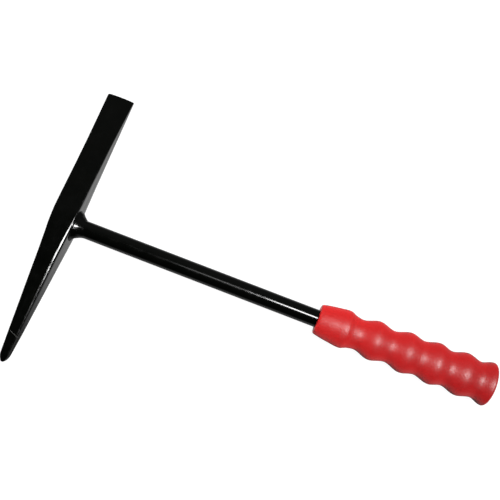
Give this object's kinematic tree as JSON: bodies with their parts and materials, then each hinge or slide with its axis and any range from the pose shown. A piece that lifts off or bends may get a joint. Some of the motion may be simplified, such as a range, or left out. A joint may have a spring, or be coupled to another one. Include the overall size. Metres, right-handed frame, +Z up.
{
  "type": "chipping hammer",
  "caption": "Chipping hammer with a black head that has a chisel end and a pointed end, on a straight steel tube with a red ribbed grip.",
  "frame": {"origin": "on the surface that the hammer lies on, under the middle of its bounding box", "axes": "+X along the handle from head to grip, rising 1.4 degrees because the grip is thicker than the head; +Y along the head from point to chisel; +Z up, out of the side that the hammer lies on"},
  "size_m": [0.3156, 0.198, 0.0303],
  "materials": {
    "head": "gloss black enamel over forged steel",
    "handle_tube": "gloss black enamel over steel tube",
    "weld_bead": "gloss black enamel over a rippled fillet weld",
    "grip": "semi-gloss red soft vinyl"
  },
  "bodies": {
    "root": {"head": "head", "handle_tube": "handle_tube", "weld_bead": "weld_bead", "grip": "grip"}
  },
  "joints": []
}
